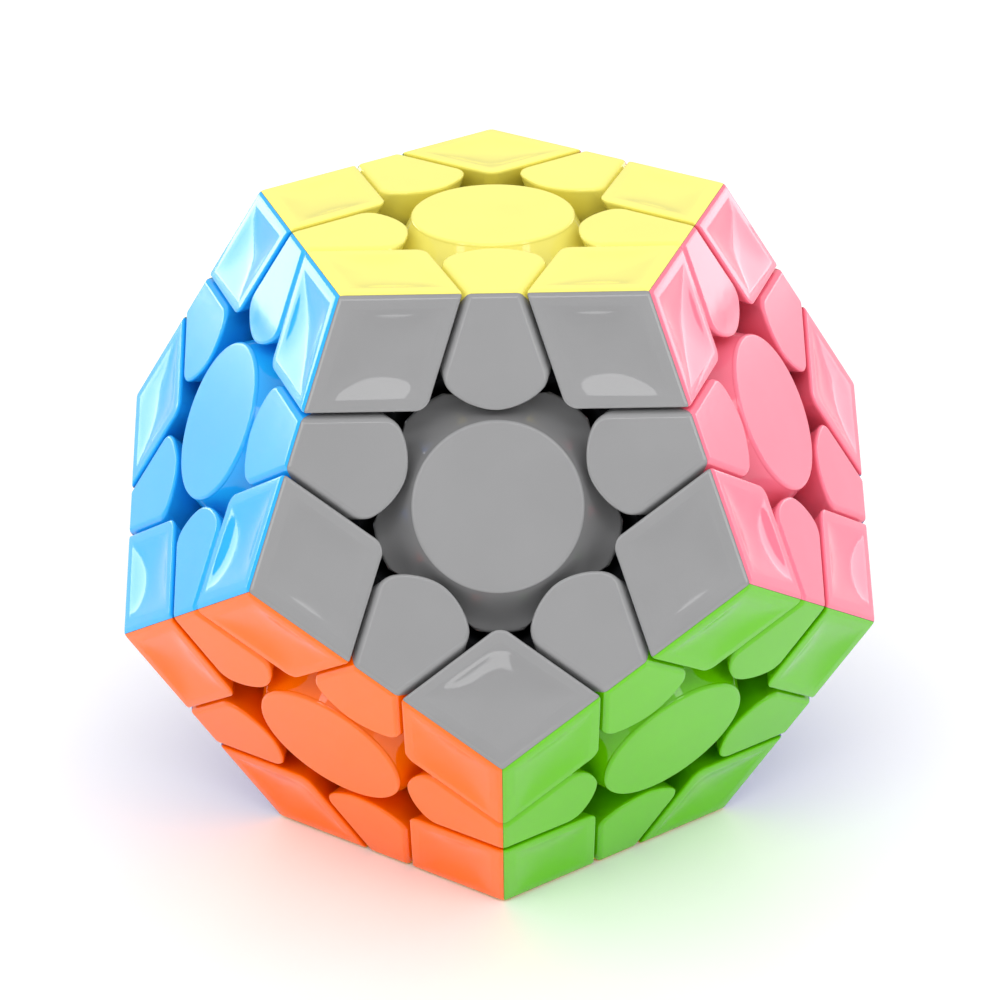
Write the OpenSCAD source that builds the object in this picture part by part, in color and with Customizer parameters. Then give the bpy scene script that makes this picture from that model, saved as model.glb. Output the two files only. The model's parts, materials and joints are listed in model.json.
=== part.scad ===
// Dodecahedron twisty puzzle: twelve turning faces, each with one centre, five edges and five corners.
//
// The puzzle is built about its middle and then raised, so that the origin is the middle of the face it
// stands on. Space is cut into round shells about the middle. In the outer shell, planes square to the
// face axes part the pieces. In the skirt shell and the foot shell, cones about the face axes part them,
// and each neck, foot and skirt has flat sides that stay on its own side of those cones. So every face can
// turn, with the feet of its edges and corners held under the skirts of the pieces around them.

/* [Outside] */
// Along an outer edge, from a corner of the solid to the middle of the nearest slot
corner_side = 13.2; // [12:0.1:18]
// Along an outer edge, between the middles of its two slots
edge_width = 5.6; // [4.8:0.1:8]
// Width of the slot between two pieces
slot_width = 0.45; // [0.3:0.05:0.7]

/* [Pieces] */
// Radius of the rounded inner end of an edge piece
edge_end_radius = 7.2; // [6.2:0.1:8.6]
// Gap between a centre cap and the edge pieces around it
cap_gap = 0.75; // [0.5:0.05:1.2]
// Thickness of a centre cap's disc
cap_thickness = 1.4; // [1:0.1:1.8]
// Depth of the ring that plugs a centre cap into its body
plug_depth = 1.8; // [1.2:0.1:2.2]
// Wall of the coloured shells
shell_wall = 1.6; // [1.2:0.1:2]
// Gap at the glued and pressed seams inside one piece
seam_gap = 0.06; // [0.04:0.01:0.1]

/* [Mechanism] */
// Gap between surfaces that slide on each other
slide_gap = 0.3; // [0.2:0.05:0.4]
// Half angle of the cones that part the skirt shell
skirt_angle = 42; // [41.5:0.5:44]
// Half angle of the cones that part the foot shell
foot_angle = 50; // [48.5:0.5:51]
// Thickness of the skirt shell
skirt_thickness = 4.4; // [3.6:0.1:5.4]
// Thickness of the foot shell
foot_thickness = 5.2; // [4.2:0.1:6.2]
// Wall of the hollow feet and skirts
foot_wall = 1.5; // [1.2:0.1:1.8]
// Radius of the stalk under a corner block
corner_stalk_radius = 1.9; // [1.5:0.1:2]
// Radius of the stem under an edge block
edge_stem_radius = 3.1; // [2.4:0.1:3.2]
// How far a stalk or a stem reaches into its block
peg_length = 2.4; // [1.6:0.1:2.8]

/* [Core] */
// Radius of the core's ball
core_radius = 11.5; // [10:0.1:13]
// Height of a post above the core's ball
post_height = 5.3; // [4:0.1:6]
// Radius of a post
post_radius = 3.6; // [3.2:0.1:4.2]
// Wall of the stem that hangs under a centre
stem_wall = 1.5; // [1.2:0.1:1.8]
// Radius of a screw's shank
screw_radius = 1.4; // [1.1:0.05:1.5]
// Length of thread inside the core
thread_length = 8; // [6:0.5:9]
// Height of a screw's head
head_height = 1.9; // [1.5:0.1:2.2]
// Thickness of a washer
washer_thickness = 0.6; // [0.4:0.1:0.8]
// Radius of a spring's wire
wire_radius = 0.3; // [0.25:0.05:0.4]
// Number of turns in a spring
spring_turns = 3; // [3:1:5]

/* [Hidden] */
$fn = 96;

// Angles that every regular dodecahedron has
RING_TILT = atan(1 / 2);
AXIS_TO_AXIS = 90 - RING_TILT;
AXIS_TO_EDGE = AXIS_TO_AXIS / 2;
AXIS_TO_CORNER = atan(tan(AXIS_TO_EDGE) / cos(36));
EDGE_TO_CORNER = acos(cos(AXIS_TO_CORNER) / cos(AXIS_TO_EDGE));
EDGE_TO_END_AXIS = AXIS_TO_CORNER + EDGE_TO_CORNER;

// Size of the solid
side = 2 * corner_side + edge_width;
face_apothem = side / 2 / tan(36);
face_height = face_apothem / tan(AXIS_TO_EDGE);
cut_level = face_height - corner_side * sin(72) * sin(AXIS_TO_AXIS);
reach = 2 * face_height;

// Radii of the round shells about the middle
skirt_outer = cut_level / cos(skirt_angle);
skirt_inner = skirt_outer - skirt_thickness;
foot_inner = skirt_inner - foot_thickness;
half_slide = slide_gap / 2;
block_floor = skirt_outer + half_slide;
skirt_top = skirt_outer - half_slide;
skirt_floor = skirt_inner + half_slide;
foot_top = skirt_inner - half_slide;
foot_floor = foot_inner + half_slide;

// Angles, from a piece's own axis, of the flat sides that stay clear of the cones
skirt_side = AXIS_TO_AXIS - skirt_angle;
neck_end = EDGE_TO_END_AXIS - skirt_angle;
neck_side = acos(cos(skirt_angle) / cos(neck_end)) - AXIS_TO_EDGE;
edge_foot_end = EDGE_TO_END_AXIS - foot_angle;
edge_foot_side = acos(cos(foot_angle) / cos(edge_foot_end)) - AXIS_TO_EDGE;
corner_foot_tip = AXIS_TO_CORNER - EDGE_TO_END_AXIS + acos(cos(foot_angle) / cos(AXIS_TO_EDGE));
corner_foot_side = atan(tan(corner_foot_tip) * cos(60));

// Planes that bound the pieces in the outer shell
block_level = cut_level + slot_width / 2;
below_level = cut_level - slot_width / 2;
cavity_floor = block_floor + shell_wall;
cavity_top = face_height - shell_wall;
half_seam = seam_gap / 2;
edge_end_level = block_level + edge_end_radius;
edge_end_half_width = edge_end_radius * cos(30);
end_wall = 2 * shell_wall;

// Centre cap and its plug
edge_tip = (block_level - face_height * cos(AXIS_TO_AXIS)) / sin(AXIS_TO_AXIS);
cap_radius = edge_tip - cap_gap;
cap_seat = face_height - cap_thickness;
plug_radius = cap_radius - shell_wall;
boss_radius = cap_radius - cap_gap / 2;

// Stack along a face axis, from the core outwards
post_top = core_radius + post_height;
seated = core_radius - sqrt(core_radius ^ 2 - post_radius ^ 2) + half_slide;
stem_bottom = post_top + slide_gap;
stem_radius = foot_inner * sin(AXIS_TO_AXIS - foot_angle) - slide_gap;
chamber_radius = stem_radius - stem_wall;
chamber_floor = stem_bottom + foot_wall;
head_radius = chamber_radius - 2 * slide_gap;
head_top = cap_seat - plug_depth - 2 * slide_gap;
head_floor = head_top - head_height;
washer_top = head_floor - seam_gap;
washer_floor = washer_top - washer_thickness;
washer_radius = chamber_radius - slide_gap;
spring_radius = washer_radius - wire_radius;
spring_floor = chamber_floor + seam_gap + wire_radius;
spring_top = washer_floor - seam_gap - wire_radius;
SPRING_SIDES = 4;
SPRING_STEPS = 8;

// Plastic of the core, the feet and the centre bodies
INNER_COLOUR = "#2d2f33";

// Each face has a name, a colour, and the elevation and azimuth of its axis
FACES = [
    ["lemon", "#efe68f", 90, 0],
    ["grey", "#8f9399", RING_TILT, -90],
    ["pink", "#f29ac4", RING_TILT, -18],
    ["red", "#c4212f", RING_TILT, 54],
    ["green", "#1c8a4b", RING_TILT, 126],
    ["sky", "#7cc6ee", RING_TILT, 198],
    ["orange", "#f07a2a", -RING_TILT, 234],
    ["lime", "#9ed04e", -RING_TILT, 306],
    ["blue", "#1f4fa6", -RING_TILT, 18],
    ["white", "#f1f1ee", -RING_TILT, 90],
    ["purple", "#6a3f9f", -RING_TILT, 162],
    ["yellow", "#f2c41c", -90, 0],
];
LAST = len(FACES) - 1;

function name_of(face) = FACES[face][0];
function colour_of(face) = FACES[face][1];
function axis_of(face) =
    let (up = FACES[face][2], round = FACES[face][3])
    [cos(up) * cos(round), cos(up) * sin(round), sin(up)];
function unit(v) = v / norm(v);
function meet(a, b) = a != b && axis_of(a) * axis_of(b) > 0;
function neighbours(face) = [for (other = [0:LAST]) if (meet(face, other)) other];

// Edges and corners, each as the list of its faces. The resting face's own pieces are kept in groups.
EDGES = [for (a = [0:LAST], b = [a:LAST]) if (meet(a, b)) [a, b]];
CORNERS = [for (e = EDGES, c = [e[1]:LAST]) if (meet(e[0], c) && meet(e[1], c)) [e[0], e[1], c]];
SINGLE_EDGES = [for (e = EDGES) if (e[1] != LAST) e];
SINGLE_CORNERS = [for (c = CORNERS) if (c[2] != LAST) c];
RESTING_EDGES = [for (e = EDGES) if (e[1] == LAST) e];
RESTING_CORNERS = [for (c = CORNERS) if (c[2] == LAST) c];

function centre_name(face) = str("centre_", name_of(face));
function edge_name(e) = str("edge_", name_of(e[0]), "_", name_of(e[1]));
function corner_name(c) = str("corner_", name_of(c[0]), "_", name_of(c[1]), "_", name_of(c[2]));

// Puts a piece drawn about +Z, with +X towards its first face, at its place in the puzzle.
module place(up, first) {
    z = unit(up);
    x = unit(first - (first * z) * z);
    y = cross(z, x);
    translate([0, 0, face_height])
        multmatrix([
            [x[0], y[0], z[0], 0],
            [x[1], y[1], z[1], 0],
            [x[2], y[2], z[2], 0],
            [0, 0, 0, 1],
        ])
            children();
}

module place_centre(face) {
    place(axis_of(face), axis_of(neighbours(face)[0])) children();
}

// Turns +Z to the given angle from the axis of the piece.
module toward(polar, azimuth) {
    rotate([0, polar, azimuth]) children();
}

module slab(low, high) {
    translate([-reach, -reach, low]) cube([2 * reach, 2 * reach, high - low]);
}

// Rod along +Z between two distances from the middle.
module rod(low, high, radius) {
    translate([0, 0, low]) cylinder(h = high - low, r = radius);
}

// Round shell about the middle.
module ball_shell(inner, outer) {
    difference() {
        sphere(r = outer);
        sphere(r = inner);
    }
}

// Everything on the +Z side of a plane through the middle that leans out by an angle, moved in by inset.
module within(angle, azimuth, inset) {
    toward(90 + angle, azimuth) slab(-reach, -inset);
}

// Everything within the same angle of +Z on several sides.
module within_sides(angle, inset, azimuths) {
    intersection_for (azimuth = azimuths)
        within(angle, azimuth, inset);
}

// ---- Corners: three shells round a stalk with a foot ----

module corner_solid(low, high, floor_radius) {
    difference() {
        intersection_for (turn = [0, 120, 240])
            toward(AXIS_TO_CORNER, turn)
                slab(low, high);
        sphere(r = floor_radius);
    }
}

// The third of the corner block that belongs to the face towards +X.
module corner_shell() {
    start = half_seam / sin(60);
    width = reach * tan(60);
    difference() {
        intersection() {
            corner_solid(block_level, face_height, block_floor);
            linear_extrude(height = reach)
                polygon([[start, 0], [start + reach, -width], [start + reach, width]]);
        }
        corner_solid(block_level + shell_wall, cavity_top, cavity_floor);
        rod(0, cavity_floor + peg_length + seam_gap, corner_stalk_radius + seam_gap);
    }
}

module corner_foot() {
    far_sides = [60, 180, 300];
    difference() {
        intersection() {
            ball_shell(foot_floor, foot_top);
            within_sides(corner_foot_side, half_slide, far_sides);
        }
        intersection() {
            sphere(r = foot_top - foot_wall);
            within_sides(corner_foot_side, half_slide + foot_wall, far_sides);
        }
    }
    rod(foot_top - foot_wall / 2, cavity_floor + peg_length, corner_stalk_radius);
}

module corner_piece(c) {
    axes = [for (face = c) axis_of(face)];
    // The three shells follow the faces anticlockwise, seen from outside
    second = cross(axes[0], axes[1]) * axes[2] > 0 ? 1 : 2;
    order = [c[0], c[second], c[3 - second]];
    place(axes[0] + axes[1] + axes[2], axes[0]) {
        for (i = [0:2])
            color(colour_of(order[i]))
                rotate([0, 0, 120 * i])
                    corner_shell();
        color(INNER_COLOUR)
            corner_foot();
    }
}

// ---- Edges: two shells round a stem with a neck and a foot ----

// Everything above the cut of the face on the -X side, with the rounded end of the piece.
module edge_end() {
    toward(-AXIS_TO_EDGE, 0)
        intersection() {
            slab(block_level - slide_gap, face_height);
            union() {
                translate([-reach, 0, edge_end_level])
                    rotate([0, 90, 0])
                        cylinder(h = 2 * reach, r = edge_end_radius);
                translate([-reach, -edge_end_half_width, edge_end_level])
                    cube([2 * reach, 2 * edge_end_half_width, reach]);
            }
        }
}

module edge_cavity() {
    difference() {
        intersection() {
            toward(AXIS_TO_EDGE, 0)
                slab(block_level + end_wall, cavity_top);
            toward(-AXIS_TO_EDGE, 0)
                slab(block_level + end_wall, cavity_top);
            edge_below_ends(below_level - shell_wall);
        }
        sphere(r = cavity_floor);
    }
}

// Everything under the cuts of the two faces at the ends of the edge.
module edge_below_ends(level) {
    intersection() {
        toward(EDGE_TO_END_AXIS, 90)
            slab(-reach, level);
        toward(EDGE_TO_END_AXIS, -90)
            slab(-reach, level);
    }
}

// The half of the edge block that belongs to the face towards +X.
module edge_shell() {
    difference() {
        intersection() {
            edge_end();
            mirror([1, 0, 0]) edge_end();
            edge_below_ends(below_level);
            translate([half_seam, -reach, 0]) cube([reach, 2 * reach, reach]);
        }
        sphere(r = block_floor);
        edge_cavity();
        rod(0, cavity_floor + peg_length + seam_gap, edge_stem_radius + seam_gap);
    }
}

// Part of a round shell that belongs to the edge, with flat sides and ends at the given angles.
module edge_zone(inner, outer, side_angle, end_angle, inset) {
    intersection() {
        ball_shell(inner, outer);
        within_sides(side_angle, inset, [0, 180]);
        within_sides(end_angle, inset, [90, -90]);
    }
}

module edge_foot() {
    difference() {
        union() {
            edge_zone(skirt_floor, skirt_top, neck_side, neck_end, half_slide);
            edge_zone(foot_floor, foot_top, edge_foot_side, edge_foot_end, half_slide);
            rod(foot_top - foot_wall, cavity_floor + peg_length, edge_stem_radius);
        }
        edge_zone(
            foot_floor - foot_wall, foot_top - foot_wall,
            edge_foot_side, edge_foot_end, half_slide + foot_wall
        );
    }
}

module edge_piece(e) {
    axes = [for (face = e) axis_of(face)];
    place(axes[0] + axes[1], axes[0]) {
        for (i = [0, 1])
            color(colour_of(e[i]))
                rotate([0, 0, 180 * i])
                    edge_shell();
        color(INNER_COLOUR)
            edge_foot();
    }
}

// ---- Centres: a body with a stem and a five-sided skirt, and a cap ----

module centre_body() {
    difference() {
        union() {
            intersection() {
                ball_shell(skirt_floor, skirt_top);
                within_sides(skirt_side, half_slide, [0:72:288]);
            }
            rod(stem_bottom, skirt_floor + foot_wall, stem_radius);
            rod(skirt_top - skirt_thickness / 2, cap_seat - seam_gap, boss_radius);
        }
        rod(chamber_floor, reach, chamber_radius);
        rod(0, reach, screw_radius + half_slide);
        rod(cap_seat - plug_depth - seam_gap, reach, plug_radius + seam_gap);
        // Groove that lightens the skirt from below
        difference() {
            rod(0, skirt_top - foot_wall, boss_radius);
            rod(0, reach, stem_radius + foot_wall);
        }
    }
}

module centre_cap() {
    difference() {
        union() {
            rod(cap_seat, face_height, cap_radius);
            rod(cap_seat - plug_depth, cap_seat + cap_thickness / 2, plug_radius);
        }
        rod(0, cap_seat, plug_radius - foot_wall);
    }
}

module centre_piece(face) {
    place_centre(face) {
        color(colour_of(face))
            centre_cap();
        color(INNER_COLOUR)
            centre_body();
    }
}

// ---- Core, screws, springs and washers ----

module core() {
    color(INNER_COLOUR)
        difference() {
            union() {
                translate([0, 0, face_height]) sphere(r = core_radius);
                for (face = [0:LAST])
                    place_centre(face)
                        rod(core_radius - seated, post_top, post_radius);
            }
            for (face = [0:LAST])
                place_centre(face)
                    rod(post_top - thread_length - slide_gap, reach, screw_radius + seam_gap);
        }
}

module screw() {
    slot = screw_radius / 2;
    difference() {
        union() {
            rod(post_top - thread_length, head_floor + head_height / 2, screw_radius);
            rod(head_floor, head_top, head_radius);
        }
        // Cross recess
        for (turn = [0, 90])
            rotate([0, 0, turn])
                translate([-screw_radius, -slot / 2, head_top - head_height * 2 / 3])
                    cube([2 * screw_radius, slot, head_height]);
    }
}

module washer() {
    difference() {
        rod(washer_floor, washer_top, washer_radius);
        rod(0, reach, screw_radius + half_slide);
    }
}

SPRING_RINGS = spring_turns * SPRING_STEPS;

// Point of the spring's wire, by ring along the coil and side round the wire.
function spring_point(ring, corner) =
    let (
        turn = 360 * ring / SPRING_STEPS,
        around = 360 * (corner + 0.5) / SPRING_SIDES,
        radius = spring_radius + wire_radius * cos(around),
        rise = (spring_top - spring_floor) * ring / SPRING_RINGS
    )
    [radius * cos(turn), radius * sin(turn), spring_floor + rise + wire_radius * sin(around)];

function spring_index(ring, corner) = ring * SPRING_SIDES + corner % SPRING_SIDES;

module spring() {
    points = [for (ring = [0:SPRING_RINGS], c = [0:SPRING_SIDES - 1]) spring_point(ring, c)];
    walls = [
        for (ring = [0:SPRING_RINGS - 1], c = [0:SPRING_SIDES - 1])
            [
                spring_index(ring, c),
                spring_index(ring, c + 1),
                spring_index(ring + 1, c + 1),
                spring_index(ring + 1, c),
            ]
    ];
    first_end = [for (c = [SPRING_SIDES - 1:-1:0]) spring_index(0, c)];
    last_end = [for (c = [0:SPRING_SIDES - 1]) spring_index(SPRING_RINGS, c)];
    polyhedron(points, concat(walls, [first_end, last_end]));
}

module screws() {
    color("#b9bcc0")
        for (face = [0:LAST])
            place_centre(face)
                screw();
}

module springs() {
    color("#c9ccd0")
        for (face = [0:LAST])
            place_centre(face)
                spring();
}

module washers() {
    color("#d2d4d6")
        for (face = [0:LAST])
            place_centre(face)
                washer();
}

module bottom_layer_edges() {
    for (e = RESTING_EDGES)
        edge_piece(e);
}

module bottom_layer_corners() {
    for (c = RESTING_CORNERS)
        corner_piece(c);
}

core();
screws();
springs();
washers();
for (face = [0:LAST]) centre_piece(face);
for (e = SINGLE_EDGES) edge_piece(e);
bottom_layer_edges();
for (c = SINGLE_CORNERS) corner_piece(c);
bottom_layer_corners();
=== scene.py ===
import json
from math import acos, atan, cos, pi, radians, sin, tan

import bpy
from mathutils import Matrix, Quaternion, Vector

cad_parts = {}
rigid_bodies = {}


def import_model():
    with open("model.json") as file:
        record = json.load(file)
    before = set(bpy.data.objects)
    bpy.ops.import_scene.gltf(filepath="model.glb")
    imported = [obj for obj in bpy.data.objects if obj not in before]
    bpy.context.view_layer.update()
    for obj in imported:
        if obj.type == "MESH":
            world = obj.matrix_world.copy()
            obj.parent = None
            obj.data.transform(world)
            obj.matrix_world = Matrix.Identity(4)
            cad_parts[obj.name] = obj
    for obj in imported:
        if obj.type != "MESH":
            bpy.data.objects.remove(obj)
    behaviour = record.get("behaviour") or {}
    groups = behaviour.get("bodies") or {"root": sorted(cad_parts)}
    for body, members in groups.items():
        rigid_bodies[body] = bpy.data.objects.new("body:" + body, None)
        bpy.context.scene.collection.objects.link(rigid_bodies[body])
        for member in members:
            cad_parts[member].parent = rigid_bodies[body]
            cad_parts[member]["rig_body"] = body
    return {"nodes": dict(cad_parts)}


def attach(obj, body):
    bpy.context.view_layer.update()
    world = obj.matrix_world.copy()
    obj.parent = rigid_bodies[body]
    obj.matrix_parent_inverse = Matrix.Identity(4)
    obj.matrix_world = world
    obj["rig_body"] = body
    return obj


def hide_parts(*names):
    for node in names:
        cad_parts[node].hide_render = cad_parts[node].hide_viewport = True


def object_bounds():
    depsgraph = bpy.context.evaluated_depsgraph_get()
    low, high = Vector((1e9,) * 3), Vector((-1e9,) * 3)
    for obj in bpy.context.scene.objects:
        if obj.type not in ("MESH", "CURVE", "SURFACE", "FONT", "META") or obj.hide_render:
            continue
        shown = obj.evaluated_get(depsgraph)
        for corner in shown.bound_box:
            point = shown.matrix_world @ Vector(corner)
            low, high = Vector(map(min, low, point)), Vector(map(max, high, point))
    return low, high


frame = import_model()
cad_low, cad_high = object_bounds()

# The pieces are modelled in millimetres about the middle of the puzzle, and each copy is brought to metres.
MM = 0.001

# ---- Sizes, in millimetres and radians ----

# Angles that every regular dodecahedron has
RING_TILT = atan(1 / 2)
AXIS_TO_AXIS = pi / 2 - RING_TILT
AXIS_TO_EDGE = AXIS_TO_AXIS / 2
AXIS_TO_CORNER = atan(tan(AXIS_TO_EDGE) / cos(radians(36)))
EDGE_TO_CORNER = acos(cos(AXIS_TO_CORNER) / cos(AXIS_TO_EDGE))
EDGE_TO_END_AXIS = AXIS_TO_CORNER + EDGE_TO_CORNER

# The whole, from the frame's own box
FACE_HEIGHT = (cad_high.z - cad_low.z) / 2 / MM
CORNER_SIDE = 13.2
SLOT_WIDTH = 0.45
HALF_SEAM = 0.02
CUT_LEVEL = FACE_HEIGHT - CORNER_SIDE * sin(radians(72)) * sin(AXIS_TO_AXIS)
BLOCK_LEVEL = CUT_LEVEL + SLOT_WIDTH / 2
BELOW_LEVEL = CUT_LEVEL - SLOT_WIDTH / 2
REACH = 2 * FACE_HEIGHT
# Two normals point the same way above this
FLAT = 0.9999
BLANK_SIZE = 1.1 * FACE_HEIGHT

# Coloured shells
SHELL_WALL = 1.6
OUTER_FILLET = 0.75
SLOT_FILLET = 0.5
CORNER_TIP_ROUND = 1.17
CORNER_RIM = 0.7
CREASE_WIDTH = 0.2
CREASE_DEPTH = 0.025
DISH_DEPTH = 0.62
DISH_CUTS = 15
DISH_SLOPE = 2.2
DISH_SMOOTHING = 10
EDGE_END_RADIUS = 7.2
EDGE_END_FACET = radians(40)
EDGE_END_SHARE = 0.97
EDGE_SIDE_ROUND = 1.05
EDGE_BLOCK_SPARE = 2.5
EDGE_CAVITY_FLOOR = 25
CAP_RADIUS = 8.97
CAP_RIM = 0.4
CAP_LIP = 0.45
CAP_THICKNESS = 1.4
FLARE_RUN = 4.2
FLARE_DROP = 4.6
FLARE_STEPS = 12
CAP_BORE = 7.37

# Mechanism, in round shells about the middle
SLIDE_GAP = 0.3
SEAM_GAP = 0.06
SKIRT_THICKNESS = 4.4
FOOT_THICKNESS = 5.2
SKIRT_ANGLE = radians(42)
FOOT_ANGLE = radians(50)
SKIRT_OUTER = CUT_LEVEL / cos(SKIRT_ANGLE)
SKIRT_INNER = SKIRT_OUTER - SKIRT_THICKNESS
FOOT_INNER = SKIRT_INNER - FOOT_THICKNESS
BLOCK_FLOOR = SKIRT_OUTER + SLIDE_GAP / 2
SKIRT_TOP = SKIRT_OUTER - SLIDE_GAP / 2
SKIRT_FLOOR = SKIRT_INNER + SLIDE_GAP / 2
FOOT_TOP = SKIRT_INNER - SLIDE_GAP / 2
FOOT_FLOOR = FOOT_INNER + SLIDE_GAP / 2
FOOT_WALL = 1.5
SKIRT_SIDE = AXIS_TO_AXIS - SKIRT_ANGLE
NECK_END = EDGE_TO_END_AXIS - SKIRT_ANGLE
NECK_SIDE = acos(cos(SKIRT_ANGLE) / cos(NECK_END)) - AXIS_TO_EDGE
EDGE_FOOT_END = EDGE_TO_END_AXIS - FOOT_ANGLE
EDGE_FOOT_SIDE = acos(cos(FOOT_ANGLE) / cos(EDGE_FOOT_END)) - AXIS_TO_EDGE
CORNER_FOOT_TIP = AXIS_TO_CORNER - EDGE_TO_END_AXIS + acos(cos(FOOT_ANGLE) / cos(AXIS_TO_EDGE))
CORNER_FOOT_SIDE = atan(tan(CORNER_FOOT_TIP) * cos(radians(60)))
EDGE_STEM_RADIUS = 3.1
CORNER_STALK_RADIUS = 1.9
PEG_LENGTH = 2.4
STALK_TOP = BLOCK_FLOOR + SHELL_WALL + PEG_LENGTH
CENTRE_STEM_BOTTOM = 17.1
CENTRE_STEM_RADIUS = FOOT_INNER * sin(AXIS_TO_AXIS - FOOT_ANGLE) - SLIDE_GAP
CHAMBER_RADIUS = CENTRE_STEM_RADIUS - FOOT_WALL
CHAMBER_FLOOR = CENTRE_STEM_BOTTOM + FOOT_WALL
SCREW_HOLE_RADIUS = 1.55

# Each face has a name, the colour of its plastic, and the elevation and azimuth of its axis
FACES = {
    "lemon": ("#f6ec74", pi / 2, 0),
    "grey": ("#8c8c8d", RING_TILT, radians(-90)),
    "pink": ("#f87890", RING_TILT, radians(-18)),
    "red": ("#c21a26", RING_TILT, radians(54)),
    "green": ("#0d7a3c", RING_TILT, radians(126)),
    "sky": ("#22aef8", RING_TILT, radians(198)),
    "orange": ("#fd6e01", -RING_TILT, radians(234)),
    "lime": ("#64bf01", -RING_TILT, radians(306)),
    "blue": ("#17469c", -RING_TILT, radians(18)),
    "white": ("#efefec", -RING_TILT, radians(90)),
    "purple": ("#5d3396", -RING_TILT, radians(162)),
    "yellow": ("#f5bf12", -pi / 2, 0),
}
NAMES = list(FACES)


def lean(polar, azimuth):
    """Unit vector at an angle from +Z, towards an azimuth."""
    return Vector((sin(polar) * cos(azimuth), sin(polar) * sin(azimuth), cos(polar)))


AXES = {name: lean(pi / 2 - up, around) for name, (_, up, around) in FACES.items()}


def meet(a, b):
    return a != b and AXES[a].dot(AXES[b]) > 0.1


EDGES = [(a, b) for i, a in enumerate(NAMES) for b in NAMES[i:] if meet(a, b)]
CORNERS = [(a, b, c) for a, b in EDGES for c in NAMES[NAMES.index(b):] if meet(a, c) and meet(b, c)]


# ---- Modelling ----

def start(add, **where):
    """Adds a primitive at its size and place, with the place in its mesh."""
    bpy.ops.object.select_all(action="DESELECT")
    add(**where)
    bpy.ops.object.transform_apply()
    return bpy.context.object


def edit(piece, kind):
    """Opens a piece for editing with what is already selected in it."""
    bpy.ops.object.select_all(action="DESELECT")
    bpy.context.view_layer.objects.active = piece
    piece.select_set(True)
    bpy.context.tool_settings.mesh_select_mode = (kind == "VERT", kind == "EDGE", kind == "FACE")
    bpy.ops.object.mode_set(mode="EDIT")


def close():
    bpy.ops.object.mode_set(mode="OBJECT")


def clear(piece):
    for group in (piece.data.vertices, piece.data.edges, piece.data.polygons):
        group.foreach_set("select", [False] * len(group))


def pick_faces(piece, test):
    """Opens a piece with only the faces selected that pass a test."""
    clear(piece)
    for face in piece.data.polygons:
        face.select = test(face)
    edit(piece, "FACE")


def pick_edges(piece, test):
    """Opens a piece with only the edges selected whose two faces have normals that pass a test."""
    clear(piece)
    normals = {}
    for face in piece.data.polygons:
        for key in face.edge_keys:
            normals.setdefault(key, []).append(face.normal.copy())
    for edge in piece.data.edges:
        edge.select = test(*normals[edge.key])
    edit(piece, "EDGE")


def keep(piece, normal, level):
    """Cuts off what lies beyond a plane and closes the cut."""
    edit(piece, "FACE")
    bpy.ops.mesh.select_all(action="SELECT")
    bpy.ops.mesh.bisect(
        plane_co=normal * level, plane_no=normal, use_fill=True, clear_outer=True, threshold=0.0001
    )
    close()


def apply_step(piece, step):
    bpy.ops.object.select_all(action="DESELECT")
    bpy.context.view_layer.objects.active = piece
    piece.select_set(True)
    bpy.ops.object.modifier_apply(modifier=step.name)


def combine(piece, tool, operation):
    """Adds a second shape to a piece, or takes it away, and drops the second shape."""
    step = piece.modifiers.new("combine", "BOOLEAN")
    step.operation = operation
    step.solver = "MANIFOLD"
    step.object = tool
    apply_step(piece, step)
    bpy.data.objects.remove(tool)


def ball(radius):
    return start(bpy.ops.mesh.primitive_uv_sphere_add, segments=144, ring_count=72, radius=radius)


def rod(low, high, radius, sides=64):
    return start(
        bpy.ops.mesh.primitive_cylinder_add,
        vertices=sides, radius=radius, depth=high - low, location=(0, 0, (low + high) / 2),
    )


def hollow_ball(piece, radius):
    combine(piece, ball(radius), "DIFFERENCE")


def weigh(piece, test, width):
    """Marks the edges that pass a test for a fillet, as a share of the widest."""
    pick_edges(piece, test)
    bpy.ops.transform.edge_bevelweight(value=width / OUTER_FILLET)
    close()


def fillet(piece, segments):
    """Rounds the marked edges."""
    step = piece.modifiers.new("fillet", "BEVEL")
    step.limit_method = "WEIGHT"
    step.width = OUTER_FILLET
    step.segments = segments
    step.use_clamp_overlap = False
    apply_step(piece, step)


def shade(piece, angle):
    """Smooth over the fillets and true on the flats."""
    bpy.ops.object.select_all(action="DESELECT")
    bpy.context.view_layer.objects.active = piece
    piece.select_set(True)
    bpy.ops.object.shade_smooth_by_angle(angle=radians(angle))
    step = piece.modifiers.new("flats", "WEIGHTED_NORMAL")
    step.keep_sharp = True
    apply_step(piece, step)


# ---- Corner pieces ----

CORNER_FACES = [lean(AXIS_TO_CORNER, radians(turn)) for turn in (0, 120, 240)]


def corner_block(top, walls):
    """The corner's block between three faces and the three cuts behind them."""
    block = start(bpy.ops.mesh.primitive_cube_add, size=BLANK_SIZE, location=(0, 0, FACE_HEIGHT))
    for face in CORNER_FACES:
        keep(block, face, top)
        keep(block, -face, -walls)
    return block


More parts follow.
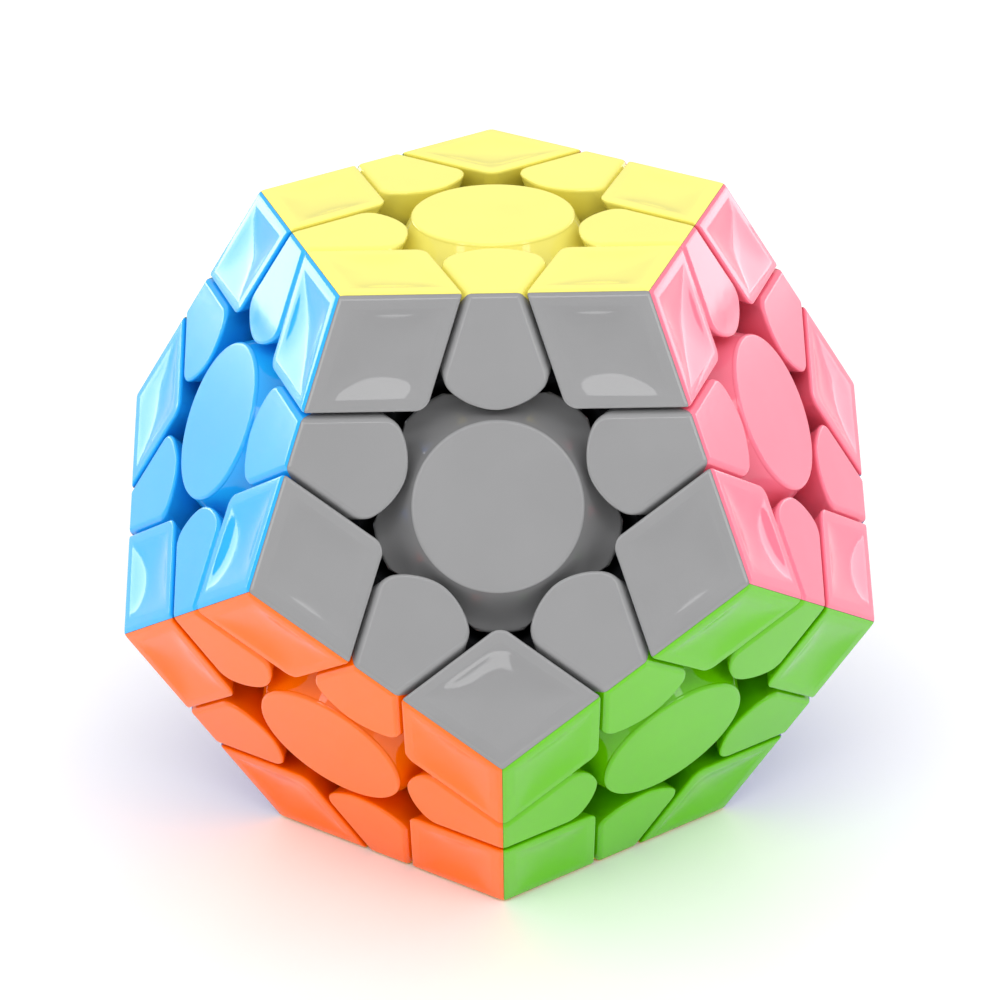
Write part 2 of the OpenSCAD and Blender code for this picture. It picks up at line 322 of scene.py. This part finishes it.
def dish(piece, face_axis):
    """A flat rim with a crisp line, and inside it a shallow dish."""
    def broad(face):
        return face.normal.dot(face_axis) > FLAT and face.area > CORNER_SIDE

    pick_faces(piece, broad)
    bpy.ops.mesh.inset(thickness=CORNER_RIM, depth=0)
    close()
    # The rim's rounded tip comes to a point inside
    inner = max((f for f in piece.data.polygons if broad(f)), key=lambda f: f.area)
    inward = (face_axis * FACE_HEIGHT - Vector((0, 0, FACE_HEIGHT / cos(AXIS_TO_CORNER)))).normalized()
    points = {i: piece.data.vertices[i].co.dot(inward) for i in inner.vertices}
    tip = max(points.values())
    clear(piece)
    for i, along in points.items():
        piece.data.vertices[i].select = along > tip - CORNER_TIP_ROUND
    edit(piece, "VERT")
    bpy.ops.mesh.merge(type="CENTER")
    close()
    pick_faces(piece, lambda f: broad(f) and len(f.vertices) == 4)
    bpy.ops.mesh.inset(thickness=CREASE_WIDTH, depth=-CREASE_DEPTH)
    bpy.ops.mesh.subdivide(number_cuts=DISH_CUTS)
    bpy.ops.mesh.select_mode(type="VERT")
    rings = (DISH_CUTS + 1) // 2
    for ring in range(1, rings + 1):
        bpy.ops.mesh.select_less()
        fall = (1 - (ring - 1) / rings) ** DISH_SLOPE - (1 - ring / rings) ** DISH_SLOPE
        bpy.ops.transform.translate(value=-face_axis * DISH_DEPTH * fall)
    for _ in range(rings - 1):
        bpy.ops.mesh.select_more()
    bpy.ops.mesh.vertices_smooth(factor=0.5, repeat=DISH_SMOOTHING)
    close()


def make_corner_shell():
    """One of the three shells of a corner piece, with its face towards +X."""
    shell = corner_block(FACE_HEIGHT, BLOCK_LEVEL)
    pick_edges(shell, lambda a, b: a.z < 0 and b.z < 0)
    bpy.ops.mesh.bevel(offset=CORNER_TIP_ROUND, segments=7, affect="EDGES")
    close()
    weigh(shell, lambda a, b: a.z > 0 and b.z > 0, OUTER_FILLET)
    weigh(shell, lambda a, b: (a.z > 0) != (b.z > 0), SLOT_FILLET)
    fillet(shell, 4)
    dish(shell, CORNER_FACES[0])
    for turn in (150, -150):
        keep(shell, lean(pi / 2, radians(turn)), -HALF_SEAM)
    hollow_ball(shell, BLOCK_FLOOR)
    cavity = corner_block(FACE_HEIGHT - SHELL_WALL, BLOCK_LEVEL + SHELL_WALL)
    hollow_ball(cavity, BLOCK_FLOOR + SHELL_WALL)
    combine(shell, cavity, "DIFFERENCE")
    shade(shell, 33)
    return shell


def zone(radius, sides, inset):
    """Part of a ball within an angle of +Z on several sides: sides maps each azimuth to its angle."""
    piece = ball(radius)
    for azimuth, angle in sides.items():
        keep(piece, lean(pi / 2 + angle, radians(azimuth)), -inset)
    return piece


def shell_zone(inner, outer, sides, inset):
    piece = zone(outer, sides, inset)
    hollow_ball(piece, inner)
    return piece


def make_corner_foot():
    """The inner part of a corner piece: a hollow foot on a stalk."""
    sides = {60: CORNER_FOOT_SIDE, 180: CORNER_FOOT_SIDE, 300: CORNER_FOOT_SIDE}
    foot = shell_zone(FOOT_FLOOR, FOOT_TOP, sides, SLIDE_GAP / 2)
    combine(foot, zone(FOOT_TOP - FOOT_WALL, sides, SLIDE_GAP / 2 + FOOT_WALL), "DIFFERENCE")
    combine(foot, rod(FOOT_TOP - FOOT_WALL / 2, STALK_TOP, CORNER_STALK_RADIUS), "UNION")
    shade(foot, 30)
    return foot


# ---- Edge pieces ----

EDGE_FACES = [lean(AXIS_TO_EDGE, 0), lean(-AXIS_TO_EDGE, 0)]
END_AXES = [lean(EDGE_TO_END_AXIS, pi / 2), lean(EDGE_TO_END_AXIS, -pi / 2)]


def edge_block(top, walls, ends, floor):
    """The edge's block between its two faces, the two rounded ends under them and the cuts at its sides."""
    block = start(bpy.ops.mesh.primitive_cube_add, size=BLANK_SIZE, location=(0, 0, FACE_HEIGHT))
    keep(block, Vector((0, 0, -1)), -floor)
    for face in EDGE_FACES:
        keep(block, face, top)
        middle = walls + EDGE_END_RADIUS
        for turn in (0, EDGE_END_FACET, -EDGE_END_FACET):
            out = Vector((0, sin(turn), 0)) - face * cos(turn)
            keep(block, out, out.dot(face * middle) + EDGE_END_RADIUS)
    for end in END_AXES:
        keep(block, end, ends)
    return block


def make_edge_shell():
    """One of the two shells of an edge piece, with its face towards +X."""
    shell = edge_block(FACE_HEIGHT, BLOCK_LEVEL, BELOW_LEVEL, BLOCK_FLOOR - EDGE_BLOCK_SPARE)

    def on_end(normal):
        return normal.z < -0.3 and abs(normal.x) > 0.2

    def on_side(normal):
        return max(normal.dot(end) for end in END_AXES) > 0.999

    end_offset = EDGE_END_RADIUS * tan(EDGE_END_FACET / 2) * EDGE_END_SHARE
    pick_edges(shell, lambda a, b: on_end(a) and on_end(b) and a.dot(b) > 0.5)
    bpy.ops.mesh.bevel(offset=end_offset, segments=9, affect="EDGES")
    close()
    pick_edges(shell, lambda a, b: (on_side(a) and on_end(b)) or (on_side(b) and on_end(a)))
    bpy.ops.mesh.bevel(offset=EDGE_SIDE_ROUND, segments=5, affect="EDGES")
    close()

    def on_face(normal):
        return max(normal.dot(face) for face in EDGE_FACES) > FLAT

    weigh(shell, lambda a, b: on_face(a) and on_face(b), OUTER_FILLET)
    weigh(shell, lambda a, b: on_face(a) != on_face(b), SLOT_FILLET)
    fillet(shell, 4)
    keep(shell, Vector((-1, 0, 0)), -HALF_SEAM)
    hollow_ball(shell, BLOCK_FLOOR)
    cavity = edge_block(
        FACE_HEIGHT - SHELL_WALL, BLOCK_LEVEL + SHELL_WALL, BELOW_LEVEL - SHELL_WALL, EDGE_CAVITY_FLOOR
    )
    hollow_ball(cavity, BLOCK_FLOOR + SHELL_WALL)
    combine(shell, cavity, "DIFFERENCE")
    shade(shell, 33)
    return shell


def make_edge_foot():
    """The inner part of an edge piece: a hollow foot, a neck between the skirts and a stem."""
    neck_sides = {0: NECK_SIDE, 180: NECK_SIDE, 90: NECK_END, -90: NECK_END}
    foot_sides = {0: EDGE_FOOT_SIDE, 180: EDGE_FOOT_SIDE, 90: EDGE_FOOT_END, -90: EDGE_FOOT_END}
    foot = shell_zone(FOOT_FLOOR, FOOT_TOP, foot_sides, SLIDE_GAP / 2)
    combine(foot, zone(FOOT_TOP - FOOT_WALL, foot_sides, SLIDE_GAP / 2 + FOOT_WALL), "DIFFERENCE")
    combine(foot, shell_zone(SKIRT_FLOOR, SKIRT_TOP, neck_sides, SLIDE_GAP / 2), "UNION")
    combine(foot, rod(FOOT_TOP - FOOT_WALL / 2, STALK_TOP, EDGE_STEM_RADIUS), "UNION")
    shade(foot, 30)
    return foot


# ---- Centres ----

def make_centre_cap():
    """A flat disc with a rounded rim, on a flare that spreads into the five points of its base."""
    cap = rod(FACE_HEIGHT - CAP_LIP, FACE_HEIGHT, CAP_RADIUS, 120)
    pick_faces(cap, lambda f: f.normal.z < -0.9)
    radius, drop = CAP_RADIUS, 0
    for step in range(1, FLARE_STEPS + 1):
        share = step / FLARE_STEPS
        wider = CAP_RADIUS + FLARE_RUN * share
        deeper = FLARE_DROP * (1 - (1 - share) ** 2)
        bpy.ops.mesh.extrude_region_move(TRANSFORM_OT_translate={"value": (0, 0, drop - deeper)})
        bpy.ops.transform.resize(value=(wider / radius, wider / radius, 1))
        radius, drop = wider, deeper
    bpy.ops.mesh.extrude_region_move(TRANSFORM_OT_translate={"value": (0, 0, SKIRT_FLOOR - FACE_HEIGHT)})
    close()
    pick_edges(cap, lambda a, b: max(a.z, b.z) > 0.9 and min(a.z, b.z) < 0.1)
    bpy.ops.mesh.bevel(offset=CAP_RIM, segments=4, affect="EDGES")
    close()
    for turn in range(0, 360, 72):
        keep(cap, lean(AXIS_TO_AXIS, radians(turn)), BELOW_LEVEL)
    hollow_ball(cap, BLOCK_FLOOR)
    combine(cap, rod(0, FACE_HEIGHT - CAP_THICKNESS, CAP_BORE), "DIFFERENCE")
    shade(cap, 35)
    return cap


def make_centre_body():
    """The inner part of a centre: a five-sided skirt, a boss for the cap and a hollow stem."""
    sides = {turn: SKIRT_SIDE for turn in range(0, 360, 72)}
    body = shell_zone(SKIRT_FLOOR, SKIRT_TOP, sides, SLIDE_GAP / 2)
    combine(body, rod(CENTRE_STEM_BOTTOM, SKIRT_FLOOR + FOOT_WALL, CENTRE_STEM_RADIUS), "UNION")
    boss_top = FACE_HEIGHT - CAP_THICKNESS - SEAM_GAP
    combine(body, rod(SKIRT_FLOOR + FOOT_WALL, boss_top, CAP_BORE - SEAM_GAP), "UNION")
    combine(body, rod(CHAMBER_FLOOR, REACH, CHAMBER_RADIUS), "DIFFERENCE")
    combine(body, rod(0, REACH, SCREW_HOLE_RADIUS), "DIFFERENCE")
    shade(body, 30)
    return body


# ---- Materials ----

def linear(colour):
    """sRGB hex to linear RGBA."""
    channels = [int(colour[i:i + 2], 16) / 255 for i in (1, 3, 5)]
    return [c / 12.92 if c <= 0.04045 else ((c + 0.055) / 1.055) ** 2.4 for c in channels] + [1]


def add(tree, kind, inputs=None, **settings):
    """Adds a node with its settings, and sets or links its inputs."""
    made = tree.nodes.new(kind)
    for key, value in settings.items():
        setattr(made, key, value)
    for socket, value in (inputs or {}).items():
        if isinstance(value, bpy.types.NodeSocket):
            tree.links.new(value, made.inputs[socket])
        else:
            made.inputs[socket].default_value = value
    return made


def blank(name):
    material = bpy.data.materials.new(name)
    material.use_nodes = True
    material.node_tree.nodes.clear()
    return material, material.node_tree


def surface(tree, colour, roughness, bump, **fixed):
    """The shader on the output: linked colour, roughness and bump, and the rest set on its sockets."""
    shader = add(tree, "ShaderNodeBsdfPrincipled", {
        "Base Color": colour, "Roughness": roughness, "Normal": bump, **fixed,
    })
    add(tree, "ShaderNodeOutputMaterial", {"Surface": shader.outputs["BSDF"]})


def pattern(tree, size, detail):
    """Noise on the object's own coordinates, with its grain in millimetres."""
    place = add(tree, "ShaderNodeTexCoord").outputs["Object"]
    made = add(tree, "ShaderNodeTexNoise", {"Vector": place, "Scale": 1 / (size * MM), "Detail": detail})
    return made.outputs["Fac"]


def spread(tree, source, low, high):
    return add(tree, "ShaderNodeMapRange", {
        "Value": source, "From Min": 0.3, "From Max": 0.7, "To Min": low, "To Max": high,
    }).outputs["Result"]


def tint(tree, source, first, second):
    ramp = add(tree, "ShaderNodeValToRGB", {"Fac": source})
    for stop, position, colour in zip(ramp.color_ramp.elements, (0.35, 0.65), (first, second)):
        stop.position = position
        stop.color = colour
    return ramp.outputs["Color"]


def raised(tree, source, height):
    """Bump of that height in millimetres."""
    return add(tree, "ShaderNodeBump", {
        "Height": source, "Strength": 1.0, "Distance": height * MM,
    }).outputs["Normal"]


def shaded(colour, factor):
    return [c * factor for c in colour[:3]] + [1]


def moulded_abs(name, colour):
    """Moulded ABS, coloured through and polished in the mould.

    The eye sees an even colour with sharp reflections that waver a little, because the wall sinks by a few
    thousandths of a millimetre as it cools, and a faint haze where hands have been.
    """
    material, tree = blank(name)
    base = linear(colour)
    surface(
        tree,
        tint(tree, pattern(tree, 9, 2), shaded(base, 0.96), shaded(base, 1.0)),
        spread(tree, pattern(tree, 5, 3), 0.035, 0.075),
        raised(tree, pattern(tree, 2.6, 1), 0.004),
        IOR=1.54,
        **{"Specular IOR Level": 0.36},
    )
    return material


def inner_abs(name, colour):
    """Moulded ABS of the hidden parts, from a plain tool: a darker, duller surface with a fine grain. For
    the inner parts the dark colour is partly the plastic's own and partly painted shade, so that they read
    nearly black deep in the gaps.
    """
    material, tree = blank(name)
    base = linear(colour)
    surface(
        tree,
        tint(tree, pattern(tree, 3, 3), shaded(base, 0.8), shaded(base, 1.15)),
        spread(tree, pattern(tree, 1.2, 2), 0.45, 0.6),
        raised(tree, pattern(tree, 0.5, 2), 0.01),
        IOR=1.54,
        **{"Specular IOR Level": 0.2},
    )
    return material


def metal(name, colour, roughness, grain, height):
    """Bare or plated steel: a grey mirror, softened by the plating's grain and the marks of handling."""
    material, tree = blank(name)
    base = linear(colour)
    surface(
        tree,
        tint(tree, pattern(tree, grain * 4, 3), shaded(base, 0.85), base),
        spread(tree, pattern(tree, grain, 2), roughness * 0.7, roughness * 1.3),
        raised(tree, pattern(tree, grain / 2, 2), height),
        Metallic=1.0,
    )
    return material


ABS = {name: moulded_abs("moulded_abs_" + name, FACES[name][0]) for name in NAMES}
# Dark plastic for the feet and centre bodies: partly their own colour, partly painted shade that makes the
# deep gaps between pieces read nearly black
INNER_ABS_DARK_AS_SHADE = inner_abs("moulded_abs_inner_dark_as_shade", "#26272a")
CORE_NYLON = inner_abs("moulded_nylon_core", "#3a3b3e")
ZINC = metal("zinc_plated_steel", "#c9ccd2", 0.28, 0.4, 0.003)
WIRE = metal("drawn_spring_steel", "#b5b6b8", 0.22, 0.3, 0.002)
POLISHED = metal("polished_washer_steel", "#d3d4d6", 0.14, 0.5, 0.001)


def finish_with(piece, material):
    piece.data.materials.clear()
    piece.data.materials.append(material)


# ---- Putting the puzzle together ----

def place(up, first):
    """From a piece drawn about +Z, with +X towards its first face, to its place in the puzzle, in metres."""
    z = up.normalized()
    x = (first - z * first.dot(z)).normalized()
    y = z.cross(x)
    turn = Matrix((x, y, z)).transposed().to_4x4()
    return Matrix.Translation((0, 0, FACE_HEIGHT * MM)) @ turn @ Matrix.Scale(MM, 4)


def put(master, name, matrix, node, material):
    """A copy of a piece with its own mesh, in its place, riding on the body of the node it stands for."""
    mesh = master.data.copy()
    mesh.transform(matrix)
    piece = bpy.data.objects.new(name, mesh)
    mesh.name = name
    bpy.context.scene.collection.objects.link(piece)
    finish_with(piece, material)
    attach(piece, frame["nodes"][node]["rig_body"])
    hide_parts(node)


def turned(degrees):
    return Matrix.Rotation(radians(degrees), 4, "Z")


corner_shell, corner_foot = make_corner_shell(), make_corner_foot()
for faces in CORNERS:
    axes = [AXES[name] for name in faces]
    title = "_".join(("corner",) + faces)
    node = title if faces[2] != "yellow" else "bottom_layer_corners"
    here = place(axes[0] + axes[1] + axes[2], axes[0])
    second = 1 if axes[0].cross(axes[1]).dot(axes[2]) > 0 else 2
    for i, name in enumerate((faces[0], faces[second], faces[3 - second])):
        put(corner_shell, f"{title}_shell_{name}", here @ turned(120 * i), node, ABS[name])
    put(corner_foot, title + "_foot", here, node, INNER_ABS_DARK_AS_SHADE)

edge_shell, edge_foot = make_edge_shell(), make_edge_foot()
for faces in EDGES:
    axes = [AXES[name] for name in faces]
    title = "_".join(("edge",) + faces)
    node = title if faces[1] != "yellow" else "bottom_layer_edges"
    here = place(axes[0] + axes[1], axes[0])
    for i, name in enumerate(faces):
        put(edge_shell, f"{title}_shell_{name}", here @ turned(180 * i), node, ABS[name])
    put(edge_foot, title + "_foot", here, node, INNER_ABS_DARK_AS_SHADE)

centre_cap, centre_body = make_centre_cap(), make_centre_body()
for name in NAMES:
    node = "centre_" + name
    here = place(AXES[name], AXES[next(other for other in NAMES if meet(name, other))])
    put(centre_cap, node + "_cap", here, node, ABS[name])
    # The body's skirt beyond the cap's points is dark partly as painted shade for the deep gap there
    put(centre_body, node + "_body", here, node, INNER_ABS_DARK_AS_SHADE)

for master in (corner_shell, corner_foot, edge_shell, edge_foot, centre_cap, centre_body):
    bpy.data.objects.remove(master)

for node, material in {"core": CORE_NYLON, "screws": ZINC, "springs": WIRE, "washers": POLISHED}.items():
    finish_with(frame["nodes"][node], material)


# ---- Floor, light and camera ----

floor = start(bpy.ops.mesh.primitive_plane_add, size=8, location=(0, 0, cad_low.z))
floor.name = "studio_floor"
floor_paper, floor_tree = blank("studio_paper")
surface(
    floor_tree,
    tint(floor_tree, pattern(floor_tree, 60, 2), linear("#fbfbfb"), linear("#ffffff")),
    spread(floor_tree, pattern(floor_tree, 4, 2), 0.75, 0.85),
    raised(floor_tree, pattern(floor_tree, 1.5, 2), 0.01),
)
finish_with(floor, floor_paper)

middle = (cad_low + cad_high) / 2


def softbox(name, azimuth, elevation, distance, width, height, glow):
    """A soft light that faces the puzzle. Azimuth 0 is the camera's side, and glow is its brightness."""
    out = lean(pi / 2 - radians(elevation), radians(azimuth - 90))
    light = bpy.data.lights.new(name, "AREA")
    light.shape = "RECTANGLE"
    light.size, light.size_y = width, height
    light.energy = glow * pi * width * height
    lamp = bpy.data.objects.new(name, light)
    bpy.context.scene.collection.objects.link(lamp)
    lamp.location = middle + out * distance
    lamp.rotation_mode = "QUATERNION"
    lamp.rotation_quaternion = (-out).to_track_quat("-Z", "Y")


softbox("softbox_top", 0, 50, 0.9, 0.8, 0.2, 3.6)
softbox("softbox_left", -46, 30, 0.9, 0.16, 0.5, 3.6)
softbox("softbox_right", 46, 30, 0.9, 0.16, 0.5, 3.6)
softbox("softbox_front", 3, 5, 0.8, 0.3, 0.06, 3.6)
softbox("softbox_back_left", -130, 5.2, 0.9, 0.5, 0.22, 4.6)
softbox("softbox_back_right", 130, 5.2, 0.9, 0.5, 0.22, 2.8)

# The studio's walls are dim and its ceiling is bright
world = bpy.data.worlds.new("studio")
world.use_nodes = True
sky = world.node_tree
sky.nodes.clear()
height = add(sky, "ShaderNodeSeparateXYZ", {"Vector": add(sky, "ShaderNodeTexCoord").outputs["Generated"]})
glow = add(sky, "ShaderNodeMapRange", {
    "Value": height.outputs["Z"], "From Min": 0.1, "From Max": 0.6, "To Min": 0.45, "To Max": 1.08,
})
studio = add(sky, "ShaderNodeBackground", {"Color": linear("#ffffff"), "Strength": glow.outputs["Result"]})
add(sky, "ShaderNodeOutputWorld", {"Surface": studio.outputs["Background"]})
bpy.context.scene.world = world
bpy.context.scene.view_settings.view_transform = "Standard"

CAMERA_DISTANCE = 0.369
CAMERA_AZIMUTH = radians(-90.14)
CAMERA_ELEVATION = radians(26.53)
CAMERA_ROLL = radians(-0.87)
back = lean(pi / 2 - CAMERA_ELEVATION, CAMERA_AZIMUTH)
lens = bpy.data.cameras.new("camera")
lens.lens = 117.1
lens.sensor_width = 36
camera = bpy.data.objects.new("camera", lens)
bpy.context.scene.collection.objects.link(camera)
camera.location = middle + Vector((0.3, 0, 0.77)) * MM + back * CAMERA_DISTANCE
camera.rotation_mode = "QUATERNION"
camera.rotation_quaternion = (-back).to_track_quat("-Z", "Y") @ Quaternion((0, 0, 1), CAMERA_ROLL)
bpy.context.scene.camera = camera
